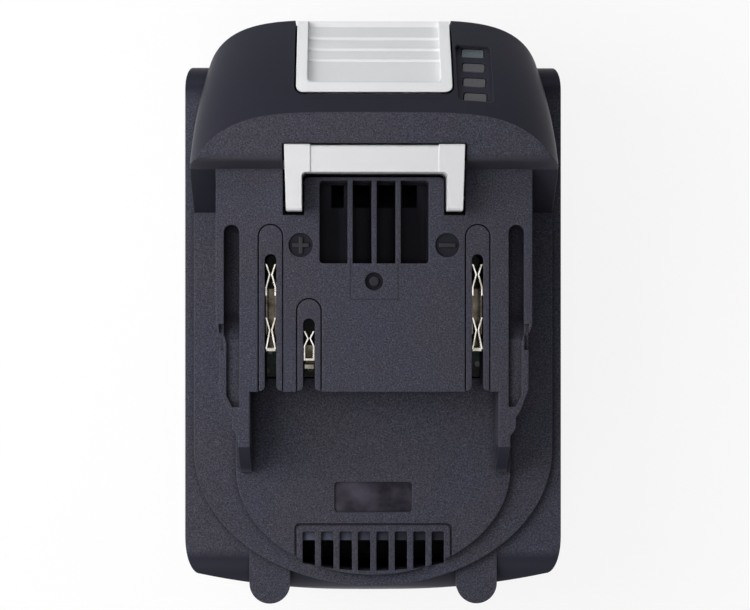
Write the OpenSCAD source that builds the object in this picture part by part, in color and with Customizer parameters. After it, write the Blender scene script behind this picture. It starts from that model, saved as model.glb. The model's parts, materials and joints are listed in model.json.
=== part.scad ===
// Slide-on battery pack for cordless tools: round cells in a two-part case.
// The front (+Y) has the release button, the rear (-Y) enters the tool first.

/* [Cells] */
// Diameter of one round cell
cell_d = 18.3; // [18:0.1:18.6]
// Length of one round cell
cell_len = 65; // [64:0.5:66]
// Gap between neighbouring cells
cell_gap = 0.7; // [0.7:0.1:1]
// Radial clearance of a cell in its frame
cell_fit = 0.15; // [0.1:0.05:0.2]
// How far a frame reaches along the cells
holder_depth = 8; // [6:0.5:9]
// Thickness of a nickel strip
strip_t = 0.3; // [0.2:0.05:0.4]
// Thickness of an insulating sheet
sheet_t = 0.5; // [0.3:0.1:0.8]

/* [Case] */
// Wall of both case halves
wall = 2.2; // [2:0.1:2.4]
// Room between a cell's end and the side wall
end_room = 2.2; // [2.1:0.1:3]
// Room between the rear cells and the rear wall
rear_room = 3.8; // [3.4:0.05:4.2]
// Room for the latch in front of the cells
front_room = 10.35; // [10.2:0.05:12]
// Room under and over the cells
cell_head = 0.4; // [0.3:0.1:0.8]
// Height of the seam between the case halves
seam_z = 34; // [32:0.5:35]
// Depth of the lap joint at the seam
lap_h = 1.6; // [1:0.2:2]
// Clearance between pieces that are put together
fit = 0.2; // [0.15:0.05:0.3]
// Radius of the rolled rear top edge
roll_r = 9.4; // [8:0.2:10]
// Radius of the lower edges
base_r = 3; // [2:0.5:4]
// Width of the rounded rear corners
rear_corner_w = 2.8; // [2.4:0.1:3.2]
// Length of the rounded rear corners
rear_corner_len = 7.5; // [6.5:0.1:8]
// Width of the rounded front shoulders
ear_w = 1.4; // [1:0.1:2]
// Length of the rounded front shoulders
ear_len = 4.3; // [4:0.1:5]
// Radius of the rolled front shoulders
ear_roll_r = 5.6; // [5:0.2:6.5]
// Radius of the bowed rear wall
rear_bow_r = 150; // [145:1:200]

/* [Top levels] */
// Rise from the outer shoulder to the ring
ring_step = 1.4; // [1:0.1:1.8]
// Rise from the ring to the rear deck
deck_step = 1.4; // [1:0.1:1.8]
// Clear height under the rail flanges
channel_h = 6.4; // [5:0.1:7]
// Thickness of the rail flanges
flange_t = 6.8; // [6:0.1:7.5]
// Rise from the rail platform to the hump
hump_h = 5; // [4:0.1:6]
// Width of the outer shoulder
shoulder_w = 1.8; // [1.5:0.1:2.4]

/* [Hump] */
// Horizontal run of the front slope
slope_run = 19.7; // [18:0.1:21]
// Length of the flat top
hump_top_len = 9; // [8:0.1:10]
// Length of the nose in front of the shoulders
nose_len = 8.9; // [8.5:0.1:10]
// How far the front slope bulges
slope_bulge = 0.5; // [0.2:0.1:0.8]
// Run of the short rear wall over the platform
step_run = 1.4; // [1:0.1:2]
// Radius of the hump's rear top edge
crest_r = 1.8; // [1:0.1:2]
// Run of the wing slopes beside the platform
wing_run = 7.85; // [7:0.05:9]

/* [Rails] */
// Width over the rail flanges
rail_w = 60.2; // [59:0.1:61]
// Width over the webs under the flanges
web_w = 53.2; // [52.6:0.1:54]
// Length of the platform
plat_len = 42.4; // [41:0.1:44]
// Length of the rail legs behind the platform
leg_len = 16; // [14:0.1:17]
// Distance of the rail grooves from the middle
groove_x = 27.1; // [27:0.05:27.3]
// Width of the rail grooves
groove_w = 3; // [2.6:0.1:3.2]
// Depth of the rail grooves
groove_depth = 5; // [3:0.1:5.2]
// Radius of the rear screw columns
column_r = 4; // [3.9:0.1:4.2]
// How far the columns stand out of the rear wall
column_proud = 1.8; // [1.5:0.1:2.2]
// Distance of the rear columns from the middle
column_x = 20.3; // [19.5:0.1:20.6]

/* [Terminals] */
// Distance of the power terminals from the middle
power_x = 19.7; // [19.4:0.1:19.9]
// Distance of the signal terminal from the middle
signal_x = 12.4; // [12:0.1:12.8]
// Width of a terminal island
island_w = 4.4; // [4.2:0.1:4.8]
// Width of a terminal slot
slot_w = 2.25; // [2:0.05:2.5]
// Gap round an island
island_gap = 0.25; // [0.2:0.05:0.3]
// Thickness of the clips' sheet metal
clip_t = 0.3; // [0.3:0.05:0.45]

/* [Vents] */
// Width of the air inlet
vent_w = 20.8; // [19.5:0.1:21.5]
// Length of the air inlet
vent_len = 15.8; // [14:0.1:16.5]
// Width of an inlet rib
rib_w = 0.95; // [0.8:0.05:1.2]
// Distance between inlet ribs
rib_pitch = 4.57; // [4.3:0.01:4.8]
// Width of a gap in the rear grille
grille_gap = 2.45; // [2.2:0.05:2.7]
// Distance between gaps in the rear grille
grille_pitch = 3.6; // [3.4:0.05:3.7]

/* [Latch] */
// Width of the hook
hook_w = 34; // [33:0.2:34.4]
// Width of a hook leg
hook_leg_w = 3.3; // [3:0.1:3.6]
// Depth of the hook's crossbar
hook_bar = 5; // [4.6:0.1:5.2]
// Length of the hook legs behind the crossbar
hook_leg_len = 7.2; // [6:0.1:7.6]
// Width of the hook's end blocks
hook_block_w = 4.9; // [4.4:0.1:5.4]
// How far the hook stands above the hump
hook_proud = 0.6; // [0.2:0.1:1.2]
// Width of the finger button
button_w = 29.7; // [28:0.1:30.2]
// Radius of the button's rear corners
button_r = 1.3; // [1:0.1:1.6]
// Width of the rim round the button's panel
button_rim = 2.1; // [1.8:0.1:2.6]
// Travel of the latch
latch_travel = 5.6; // [4:0.1:5.6]
// Clearance of the latch in its openings
latch_fit = 0.4; // [0.3:0.05:0.5]
// Wire diameter of the latch spring
wire_d = 0.8; // [0.6:0.1:0.9]
// Mean radius of the latch spring
spring_r = 2.8; // [2.4:0.1:3]
// Working turns of the latch spring
spring_turns = 4.5; // [4:0.5:5]

/* [Gauge] */
// Distance of the gauge from the middle
gauge_x = 19.2; // [19:0.1:19.6]
// Width of a gauge pill
pill_w = 4.2; // [3.8:0.1:4.4]
// Length of a gauge pill along the slope
pill_len = 2.45; // [2.2:0.05:2.6]
// Distance between gauge pills along Y
pill_pitch = 3.15; // [3.05:0.01:3.2]
// Travel of the check button
check_travel = 0.6; // [0.3:0.1:0.7]

/* [Screws] */
// Shank diameter of the case screws
screw_d = 3; // [2.6:0.1:3]
// Head diameter of the case screws
screw_head_d = 4.8; // [4.4:0.1:4.9]
// Clearance round a screw
screw_fit = 0.15; // [0.1:0.05:0.2]
// Height of the case screw heads' seats
screw_seat_z = 20; // [16:0.5:22]

/* [Hidden] */
$fn = 64;
columns = 5;
rows = 2;
outline_steps = 40;
fillet_steps = 6;
bow_steps = 12;
eps = 0.01;

// Cell pack
cell_r = cell_d / 2;
pitch = cell_d + cell_gap;
cells_len = columns * cell_d + (columns - 1) * cell_gap;
cells_top = wall + cell_head + rows * cell_d + (rows - 1) * cell_gap;

// Case outline
half_w = cell_len / 2 + end_room + wall;
total_len = column_proud + rear_room + cells_len + front_room + 2 * wall;
y_front = total_len / 2;
y_wall = column_proud - total_len / 2;
cells_rear = y_wall + wall + rear_room;
y_ear = y_front - nose_len;

// Levels
shoulder_z = cells_top + cell_head + wall;
ring_z = shoulder_z + ring_step;
deck_z = ring_z + deck_step;
flange_z = ring_z + channel_h;
plat_z = flange_z + flange_t;
hump_z = plat_z + hump_h;
hook_z = hump_z + hook_proud;
board_z = cells_top + 1.6;
board_t = 1.6;
board_top = board_z + board_t;

// Stations along the pack
top_front = y_front - slope_run;
hump_rear = top_front - hump_top_len;
plat_front = hump_rear - step_run;
wing_foot = plat_front - wing_run;
plat_rear = plat_front - plat_len;
leg_tip = plat_rear - leg_len;
ring_half = half_w - shoulder_w;
ring_arc_y = y_wall + 28.55;
ring_arc_b = 26.65;
deck_half = 26.8;
deck_arc_y = y_wall + 24.85;
deck_arc_b = 20.65;
web_half = web_w / 2;
rail_half = rail_w / 2;
plat_inner = groove_x - groove_w / 2 - 1.6;
groove_shallow = 1;
groove_notch = 0.8;

// Front slope
slope_angle = atan((hump_z - shoulder_z) / slope_run);
slope_inset = 1 / cos(slope_angle);
hump_half = half_w - 1.4;
hump_pinch = 0.5;
taper = 0.155;
nose_power = [4.8, 2.8];
crest_power = [4.6, 1.65];
crest_half = half_w - 2;
crest_depth = 13.4;
nose_corner = 12.8;
nose_straight = 29.65;
slope_mid = [(top_front + y_front) / 2 + slope_bulge * sin(slope_angle),
    (hump_z + shoulder_z) / 2 + slope_bulge * cos(slope_angle)];

// Terminals
power_tip = plat_front - 10.7;
signal_tip = plat_front - 24.8;
power_slot_tip = plat_front - 16.2;
signal_slot_tip = plat_front - 28.45;
clip_outer = slot_w / 2 - clip_t / 2 - 0.1;
clip_pinch = clip_t / 2 + 0.06;
clip_top = plat_z - 1.2;
clip_foot = board_top + 1.2;

// Vents and surface marks
vent_front = plat_front - 2.2;
vent_rear = vent_front - vent_len;
vent_floor = plat_z - 9.6;
vent_wall = 0.8;
vent_base = vent_floor - 1.4;
vent_holes = [[-8.2, -5.8], [-4, -0.7], [0.8, 4.1], [5.5, 8.4]];
vent_hole_rear = vent_front - 4.8;
grille_front = y_wall + 12.65;
grille_len = 7.7;
grille_arc_r = 72;
grille_gaps = 8;
grille_ledge = 1.8;
polarity_x = 13.95;
polarity_y = plat_front - 14.5;
polarity_r = 2.33;
polarity_depth = 0.5;
gate_y = plat_front - 21.4;
gate_r = 1.75;
gate_depth = 1.1;
bare_half = 7.6;
bare_front = y_wall + 22.35;
bare_rear = y_wall + 16.35;
bare_depth = 0.4;

// Latch
hook_front = plat_front + 4.1;
hook_rear = hook_front - hook_bar;
hook_tip = hook_rear - hook_leg_len;
hook_low = flange_z - 0.2;
hook_lip = 0.25;
hook_block_proud = 0.2;
hook_taper = 0.35;
button_rear = top_front + 4.1;
button_low = shoulder_z - 2.4;
button_t = 2.4;
button_proud = 0.3;
panel_depth = 1.2;
spring_y = y_front - wall - 5.45;
spring_low = seam_z - 3;
spring_high = shoulder_z + 0.5;
skirt_t = 2.1;

// Gauge, measured from the slope's surface
gauge_y = y_front - 6.71;
pill_count = 4;
pill_turn = 4;
gauge_sink = 0.6;
gauge_floor = 2.6;
guide_t = 1.4;
led_t = 1.5;
gauge_w = 6.8;
gauge_mid = gauge_y - (pill_count - 1) * pill_pitch / 2;
gauge_len = ((pill_count - 1) * pill_pitch + 2.2) * slope_inset;

// Screws
boss_r = screw_d / 2 + 2.2;
screw_y = y_wall + 1.9;
front_screw_x = 26.8;
front_screw_y = cells_rear + cells_len + boss_r + 2 * fit;
lap_top = seam_z + lap_h + fit;
screw_top = seam_z + 5.5;
screw_head_h = 2;
board_screw_x = plat_inner - 2.6;
board_screw_y = plat_front - 4.3;
board_screw_r = 1.1;
board_screw_reach = board_screw_y - cell_y(3) - board_screw_r;
board_screw_room = cell_r - sqrt(max(0, cell_r * cell_r - board_screw_reach * board_screw_reach)) - fit;
board_screw_low = cells_top - min(1.2, board_screw_room);

// Helpers

function cell_y(i) = cells_rear + cell_r + i * pitch;
function cell_z(i) = wall + cell_head + cell_r + i * pitch;
function slope_z(y) = hump_z - (y - top_front) * tan(slope_angle);
function mix(low, high, u) = low + (high - low) * u;
function curve(value, power) = sign(value) * pow(abs(value), 2 / power);
function unit(v) = v / norm(v);
function bow_y(x, inset) = y_wall + rear_bow_r - sqrt(pow(rear_bow_r - inset, 2) - x * x);

// Arc that rounds the corner between two straight edges
function fillet(from, corner, to, r) =
    let (u = unit(from - corner))
    let (v = unit(to - corner))
    let (half = acos(u * v) / 2)
    let (centre = corner + unit(u + v) * r / sin(half))
    let (start = corner + u * r / tan(half) - centre)
    let (end = corner + v * r / tan(half) - centre)
    [for (i = [0 : fillet_steps]) centre + r * unit(mix(start, end, i / fillet_steps))];

// Outline with straight, slightly tapered flanks and a superelliptic front
function front_outline(half, taper, y_back, y_full, y_corner, y_tip, power) = concat(
    [[half - hump_pinch, y_back], [half, y_full]],
    [for (i = [0 : outline_steps])
        let (angle = 180 * i / outline_steps)
        let (y = y_corner + (y_tip - y_corner) * curve(sin(angle), power.y))
        [(half - taper * (y - y_full)) * curve(cos(angle), power.x), y]],
    [[-half, y_full], [hump_pinch - half, y_back]]
);

// Half ellipse open towards the front, closed by straight flanks
function rear_outline(half, b, y_arc, y_open) = concat(
    [[half, y_open]],
    [for (i = [0 : outline_steps])
        let (angle = 180 * i / outline_steps)
        [half * cos(angle), y_arc - b * sin(angle)]],
    [[-half, y_open]]
);

module along_x(length) {
    translate([-length / 2, 0, 0])
        rotate([90, 0, 90])
            linear_extrude(length) children();
}

module along_y(y0, y1) {
    translate([0, y1, 0])
        rotate([90, 0, 0])
            linear_extrude(y1 - y0) children();
}

module slab(z0, z1) {
    translate([0, 0, z0])
        linear_extrude(z1 - z0) children();
}

module box(x0, y0, z0, x1, y1, z1) {
    translate([x0, y0, z0])
        cube([x1 - x0, y1 - y0, z1 - z0]);
}

module both_sides() {
    children();
    mirror([1, 0, 0]) children();
}

// Rectangle with round corners, given by two opposite corners
module round_rect(x0, y0, x1, y1, r) {
    for (x = [x0 + r, x1 - r], y = [y0 + r, y1 - r])
        translate([x, y]) circle(r);
    translate([x0 + r, y0]) square([x1 - x0 - 2 * r, y1 - y0]);
    translate([x0, y0 + r]) square([x1 - x0, y1 - y0 - 2 * r]);
}

// Long hole: round at the front, open or square at the rear
module slot_plan(x, width, y_rear, y_tip) {
    translate([x, y_tip - width / 2]) circle(d = width);
    translate([x - width / 2, y_rear]) square([width, y_tip - width / 2 - y_rear]);
}

// Frame on the front slope: the local Z axis leaves the surface
module on_slope(x, y) {
    translate([x, y, slope_z(y)])
        rotate([-slope_angle, 0, 0]) children();
}

// Case outline

module nose_plan(inset) {
    polygon(front_outline(hump_half - inset, taper, 0, y_front - nose_straight, y_front - nose_corner,
        y_front - inset, nose_power));
}

// Right-hand side of the outline: half the bowed rear wall, rear corner and front shoulder
function body_side(inset) =
    let (half = half_w - inset)
    let (rear_w = rear_corner_w - inset / 2)
    let (rear_len = rear_corner_len - inset)
    let (y0 = bow_y(half - rear_w, inset))
    let (y1 = y_ear - inset)
    concat(
        [for (i = [1 : bow_steps])
            let (x = (half - rear_w) * i / (bow_steps + 1))
            [x, bow_y(x, inset)]],
        [for (i = [0 : 2 * fillet_steps])
            let (angle = 45 * i / fillet_steps)
            [half - rear_w + rear_w * sin(angle), y0 + rear_len - rear_len * cos(angle)]],
        [for (i = [0 : fillet_steps])
            let (angle = 90 * i / fillet_steps)
            [half - ear_w + ear_w * cos(angle), y1 - ear_len + ear_len * sin(angle)]]
    );

module body_plan(inset) {
    side = body_side(inset);
    last = len(side) - 1;
    polygon(concat(side, [for (i = [0 : last]) [-side[last - i].x, side[last - i].y]]));
    nose_plan(inset);
}

// Side view of the case with its rolled rear edge and front shoulders
module roll_profile(inset) {
    rear = y_wall + roll_r;
    front = y_ear - ear_roll_r;
    rear_z = shoulder_z - roll_r;
    front_z = shoulder_z - ear_roll_r;
    translate([rear, rear_z]) circle(roll_r - inset);
    translate([front, front_z]) circle(ear_roll_r - inset);
    translate([y_wall + inset, -1]) square([y_ear - y_wall - 2 * inset, rear_z + 1]);
    translate([rear, -1]) square([y_ear - inset - rear, front_z + 1]);
    translate([rear, -1]) square([front - rear, shoulder_z - inset + 1]);
}

module case_volume(inset, z0) {
    intersection() {
        slab(z0, shoulder_z - inset) body_plan(inset);
        union() {
            along_x(2 * half_w) roll_profile(inset);
            slab(z0, shoulder_z - inset) nose_plan(inset);
        }
    }
}

module ring_plan(inset) {
    polygon(rear_outline(ring_half - inset, ring_arc_b - inset, ring_arc_y, plat_front));
}

module deck_plan(inset) {
    polygon(rear_outline(deck_half - inset, deck_arc_b - inset, deck_arc_y, plat_rear + wall));
}

module hump_loft(inset) {
    levels = inset > 0 ? 3 : 6;
    tip_inset = inset * tan(slope_angle / 2);
    z_low = shoulder_z - (inset > 0 ? inset + fit : 0);
    z_high = hump_z - inset;
    y_back = wing_foot - wall;
    y_full = y_front - nose_straight;
    y_crest = top_front - crest_depth;
    hull()
        for (i = [0 : levels]) {
            u = i / levels;
            z = mix(z_low, z_high, u);
            slab(z - (i == levels ? eps : 0), z + (i == levels ? 0 : eps))
                polygon(front_outline(
                    mix(hump_half, crest_half, u) - inset,
                    taper * (1 - u),
                    y_back,
                    mix(y_full, y_crest, u),
                    mix(y_front - nose_corner, y_crest + eps, u),
                    mix(y_front, top_front, u) + slope_bulge * slope_inset * sin(180 * u) - tip_inset,
                    mix(nose_power, crest_power, u)
                ));
        }
}

// Everything in front of the hump's rear wall and wing slopes
module hump_limit(inset) {
    foot = [plat_front + inset, plat_z];
    edge = [hump_rear + inset, hump_z - inset];
    along_x(2 * half_w)
        polygon(concat(
            [[wing_foot + inset, 0], [wing_foot + inset, ring_z], foot],
            fillet(foot, edge, [y_front, edge.y], crest_r),
            [[y_front + 1, edge.y], [y_front + 1, 0]]
        ));
}

module hump(inset) {
    intersection() {
        hump_loft(inset);
        hump_limit(inset);
    }
}

// Rails

// Plan of the platform with its flanges, which narrow and end before the legs
module flange_plan() {
    y_narrow = plat_front - 29.7;
    y_end = plat_rear + 0.5;
    leg_outer = web_half + 0.4;
    polygon([
        [rail_half, plat_front + step_run], [rail_half, y_narrow], [rail_half - 0.7, y_narrow - 1.8],
        [rail_half - 0.7, y_end], [leg_outer + 0.8, plat_rear - 3.8], [leg_outer, plat_rear - 4.8],
        [leg_outer, plat_rear - 7], [leg_outer - 1.1, plat_rear - 8.5], [leg_outer - 1.1, leg_tip],
        [leg_outer - 3.3, leg_tip], [leg_outer - 3.3, plat_rear], [0, plat_rear],
        [0, plat_front + step_run]
    ]);
}

module web_plan() {
    polygon([
        [web_half, plat_front + step_run], [web_half, plat_rear - 7], [web_half - 0.7, plat_rear - 8.5],
        [web_half - 0.7, leg_tip], [web_half - 2.9, leg_tip], [web_half - 2.9, plat_rear],
        [0, plat_rear], [0, plat_front + step_run]
    ]);
}

// Side view of the rails with their sloped tips
module rail_profile() {
    polygon([
        [plat_front + step_run, shoulder_z], [plat_front + step_run, plat_z], [leg_tip + 5.5, plat_z],
        [leg_tip, deck_z + 1.3], [leg_tip, shoulder_z]
    ]);
}

module rails() {
    intersection() {
        both_sides() {
            slab(flange_z, plat_z) flange_plan();
            slab(shoulder_z, flange_z) web_plan();
        }
        along_x(2 * half_w) rail_profile();
    }
}

module rail_groove() {
    y_tip = plat_front - 10.6;
    y_step = plat_front - 31.5;
    y_end = plat_rear - 2.9;
    inner = groove_x - groove_w / 2;
    outer = groove_x + groove_w / 2;
    intersection() {
        slab(plat_z - groove_depth, plat_z + 1) {
            translate([groove_x, y_tip - groove_w / 2]) circle(d = groove_w);
            polygon([
                [inner, y_tip - groove_w / 2], [outer, y_tip - groove_w / 2], [outer, y_step],
                [outer - 0.5, y_step - 1.5], [outer - 0.5, y_end + 2.2], [outer - 1.6, y_end],
                [inner, y_end]
            ]);
        }
        along_x(2 * half_w)
            polygon([
                [y_tip, plat_z - groove_depth], [y_tip, plat_z + 1], [y_end, plat_z + 1],
                [y_end, plat_z - groove_shallow], [y_step - 1, plat_z - groove_shallow],
                [y_step + 3, plat_z - groove_depth]
            ]);
    }
    box(outer - eps, y_step - 3, plat_z - groove_notch, outer + 0.9, y_step + 2, plat_z + 1);
}

// Openings of the upper case

module island_opening(x, y_tip) {
    slab(deck_z, plat_z + 1)
        slot_plan(x, island_w + 2 * island_gap, plat_rear - 1, y_tip + island_gap);
}

module island_openings() {
    island_opening(power_x, power_tip);
    island_opening(-power_x, power_tip);
    island_opening(-signal_x, signal_tip);
}

// Tub of the air inlet that hangs under the platform
module inlet_tub() {
    box(-vent_w / 2 - vent_wall, vent_rear - vent_wall, vent_base,
        vent_w / 2 + vent_wall, vent_front + vent_wall, plat_z - wall + eps);
}

module inlet_opening() {
    slab(vent_floor, plat_z + 1) round_rect(-vent_w / 2, vent_rear, vent_w / 2, vent_front, 0.7);
    for (hole = vent_holes)
        box(hole.x, vent_hole_rear, vent_base - 1, hole.y, vent_front - 0.4, vent_floor + 1);
}

module inlet_ribs() {
    for (i = [-1 : 1])
        box(i * rib_pitch - rib_w / 2, vent_rear - eps, vent_floor,
            i * rib_pitch + rib_w / 2, vent_front + eps, plat_z);
}

module grille_opening() {
    span = grille_gaps - 1;
    y_end = grille_front - grille_len;
    for (i = [0 : span]) {
        left = (i - span / 2) * grille_pitch - grille_gap / 2;
        right = left + grille_gap;
        slab(lap_top + 1, deck_z + 1)
            intersection() {
                translate([0, y_end + grille_arc_r]) circle(grille_arc_r, $fn = 360);
                round_rect(left, y_end - 1, right, grille_front - grille_ledge, 0.4, $fn = 16);
            }
        slab(deck_z - 1.1, deck_z + 1)
            round_rect(left, grille_front - grille_ledge - 1, right, grille_front, 0.4, $fn = 16);
    }
}

// Thin outline round the rear grille
module grille_line() {
    outer = grille_pitch * grille_gaps / 2 + 1;
    line = 0.45;
    front = grille_front + 1.6;
    slab(deck_z - 0.4, deck_z + 1)
        difference() {
            round_rect(-outer, front - 7, outer, front, 1);
            round_rect(line - outer, front - 9, outer - line, front - line, 0.8);
        }
}

module latch_opening() {
    gap_y = latch_fit + 0.3;
    half = hook_w / 2 + latch_fit;
    inner = hook_w / 2 - hook_leg_w - latch_fit;
    tongue_r = 0.9;
    tongue_y = hook_rear - gap_y;
    box(-half, tongue_y, flange_z - 3, half, hook_front + hook_lip + latch_fit / 2, hump_z + 1);
    both_sides() {
        box(inner, hook_tip - gap_y, flange_z - 3, half, hook_front, hump_z + 1);
        slab(flange_z - 3, plat_z + 1)
            difference() {
                translate([inner - tongue_r, tongue_y - tongue_r]) square(tongue_r + eps);
                translate([inner - tongue_r, tongue_y - tongue_r]) circle(tongue_r);
            }
    }
    slab(seam_z - 1, hump_z + 1) button_plan(latch_fit);
}

// Plan of the finger button with its round rear corners
module button_plan(grow) {
    half = button_w / 2 + grow;
    round_rect(-half, button_rear - grow, half, y_front + 4, button_r + grow);
}

module pill(grow) {
    half_x = pill_w / 2 + grow;
    half_y = pill_len / 2 + grow;
    round_rect(-half_x, -half_y, half_x, half_y, 0.5 + grow);
}

module each_pill(first, last) {
    for (i = [first : last])
        on_slope(gauge_x, gauge_y - i * pill_pitch)
            rotate([0, 0, -pill_turn]) children();
}

module gauge_opening() {
    on_slope(gauge_x, gauge_mid) {
        slab(-gauge_sink, 3) round_rect(-gauge_w / 2, -gauge_len / 2, gauge_w / 2, gauge_len / 2, 0.8);
        slab(-gauge_floor - 8, -gauge_floor)
            square([gauge_w + fit, gauge_len + 2 * fit + 1.2], center = true);
    }
    each_pill(0, pill_count - 1)
        slab(-gauge_floor - 1, 1) pill(fit);
}

// Round marks and plain recesses on the platform and the deck
module surface_marks() {
    both_sides()
        translate([polarity_x, polarity_y, plat_z - polarity_depth]) cylinder(h = 2, r = polarity_r);
    translate([0, gate_y, plat_z - gate_depth])
        difference() {
            cylinder(h = 2, r = gate_r);
            cylinder(h = gate_depth * 0.65, r = gate_r / 2);
        }
    slab(deck_z - bare_depth, deck_z + 1)
        round_rect(-bare_half, bare_rear, bare_half, bare_front, 0.8);
}

// Screw columns

module each_screw() {
    both_sides() {
        translate([column_x, screw_y, 0]) children();
        translate([front_screw_x, front_screw_y, 0]) children();
    }
}

// Half-round column that grows out of the rear wall
module rear_column(z0, z1) {
    y = y_wall - column_proud + column_r;
    both_sides() {
        translate([column_x, y, z0]) cylinder(h = z1 - z0, r = column_r);
        box(column_x - column_r, y, z0, column_x + column_r, y_wall + roll_r, z1);
    }
}

// Main pieces

module upper_case() {
    color("#3f3e46")
        difference() {
            union() {
                difference() {
                    union() {
                        case_volume(0, seam_z);
                        slab(seam_z, ring_z) ring_plan(0);
                        slab(shoulder_z, deck_z) deck_plan(0);
                        rails();
                        hump(0);
                        rear_column(seam_z, shoulder_z);
                    }
                    case_volume(wall, seam_z - 1);
                    slab(seam_z, ring_z - wall) ring_plan(wall + 1);
                    slab(seam_z, deck_z - wall) deck_plan(wall);
                    box(-plat_inner, plat_rear + wall, seam_z, plat_inner, plat_front + wall, plat_z - wall);
                    hump(wall);
                    slab(seam_z - 1, lap_top) body_plan(wall / 2 - fit);
                }
                inlet_tub();
                intersection() {
                    union() {
                        case_volume(wall / 2, seam_z);
                        hump_loft(wall / 2);
                    }
                    each_screw()
                        translate([0, 0, lap_top]) cylinder(h = screw_top + 4 - lap_top, r = boss_r);
                }
            }
            each_screw() translate([0, 0, seam_z - 1])
                cylinder(h = screw_top + fit - seam_z + 1, r = screw_d / 2 + screw_fit / 3);
            both_sides() rail_groove();
            island_openings();
            difference() {
                inlet_opening();
                inlet_ribs();
            }
            grille_opening();
            grille_line();
            latch_opening();
            gauge_opening();
            surface_marks();
        }
}

module lower_case() {
    screw_hole_r = screw_d / 2 + screw_fit;
    color("#38373e")
        difference() {
            union() {
                difference() {
                    union() {
                        intersection() {
                            slab(0, seam_z) body_plan(0);
                            along_x(2 * half_w) base_profile(y_wall, y_front);
                            along_y(y_wall, y_front) base_profile(-half_w, half_w);
                        }
                        rear_column(0, seam_z);
                        slab(seam_z - lap_h, seam_z + lap_h) body_plan(wall / 2);
                    }
                    slab(wall, seam_z + lap_h + 1) body_plan(wall);
                }
                intersection() {
                    slab(0, seam_z + lap_h) body_plan(wall / 2);
                    each_screw() translate([0, 0, wall / 2]) cylinder(h = seam_z + lap_h, r = boss_r);
                }
                spring_post();
                latch_apron();
            }
            each_screw() {
                translate([0, 0, -1]) cylinder(h = screw_seat_z + 1, r = screw_head_d / 2 + screw_fit);
                cylinder(h = seam_z + lap_h + 1, r = screw_hole_r);
            }
            lap_window = button_w / 2 + latch_fit;
            box(-lap_window, y_front - wall - 1, seam_z, lap_window, y_front + 1, seam_z + lap_h + 1);
        }
}

module base_profile(low, high) {
    for (x = [low + base_r, high - base_r])
        translate([x, base_r]) circle(base_r);
    translate([low + base_r, 0]) square([high - low - 2 * base_r, base_r + 1]);
    translate([low, base_r]) square([high - low, seam_z]);
}

// Post under the latch spring, joined to the front wall by a rib
module spring_post() {
    seat_r = spring_r + wire_d / 2 + 0.8;
    translate([0, spring_y, wall - eps]) cylinder(h = spring_low - wall + eps, r = seat_r);
    translate([0, spring_y, spring_low - eps]) cylinder(h = 2, r = spring_r - wire_d / 2 - fit);
    box(-1, spring_y, wall - eps, 1, y_front - wall + eps, spring_low - 4);
}

// Wall behind the button's skirt
module latch_apron() {
    y = y_front - button_proud - skirt_t - 2 * fit - wall / 2;
    half = button_w / 2 - 1.5;
    pressed = slope_z(y + wall / 2) - button_t * slope_inset - latch_travel;
    box(-half, y, seam_z - 4, half, y + wall / 2, pressed - 2 * fit);
    box(-half, y, seam_z - 4, half, y_front - wall / 2, seam_z - 3);
}

// Latch

// Side view of the button: a skin that follows the front slope and a short skirt
module button_skin(lift, depth) {
    out = [lift * sin(slope_angle), lift * cos(slope_angle)];
    drop = depth * slope_inset;
    y_tip = y_front - button_proud;
    z_rear = slope_z(button_rear) + lift * slope_inset + slope_bulge / 2;
    polygon([
        [button_rear, z_rear], slope_mid + out, [y_tip, shoulder_z + lift], [y_tip, button_low],
        [y_tip - skirt_t, button_low], [y_tip - skirt_t, shoulder_z + lift - drop / 2],
        slope_mid + out - [0, drop], [button_rear, z_rear - drop]
    ]);
}

module button_ribs() {
    for (i = [0 : 2]) {
        y = y_front - 3.45 - i * 2.5;
        lift = slope_bulge * 2 * (y_front - y) / slope_run;
        on_slope(0, y)
            translate([-button_w / 2 + button_rim, 0, button_proud - panel_depth - 0.2 + lift])
                rotate([0, 90, 0]) cylinder(h = button_w - 2 * button_rim, r = 0.6, $fn = 24);
    }
}

module hook() {
    half = hook_w / 2;
    inner = half - hook_leg_w;
    tip_y = hook_front + hook_lip;
    block_z = hook_z + hook_block_proud;
    drop = 0.6;
    along_x(2 * (half - hook_block_w) + eps)
        polygon([
            [hook_front, hook_low], [hook_front, hook_z - 0.3], [hook_front - 0.3, hook_z],
            [hook_rear, hook_z], [hook_rear, hook_low]
        ]);
    both_sides() {
        intersection() {
            along_x(hook_w)
                polygon([
                    [tip_y, hook_low], [tip_y, block_z - 0.3], [tip_y - 0.3, block_z], [hook_rear, block_z],
                    [hook_tip + 0.4, block_z - drop], [hook_tip, block_z - drop - 0.4], [hook_tip, hook_low]
                ]);
            slab(hook_low, block_z)
                polygon(concat(
                    [[half - hook_block_w, tip_y], [half, tip_y], [half - hook_taper, hook_tip]],
                    [[inner, hook_tip]],
                    fillet([inner, hook_tip], [inner, hook_rear], [0, hook_rear], 0.8),
                    [[half - hook_block_w, hook_rear]]
                ));
        }
    }
}

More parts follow.
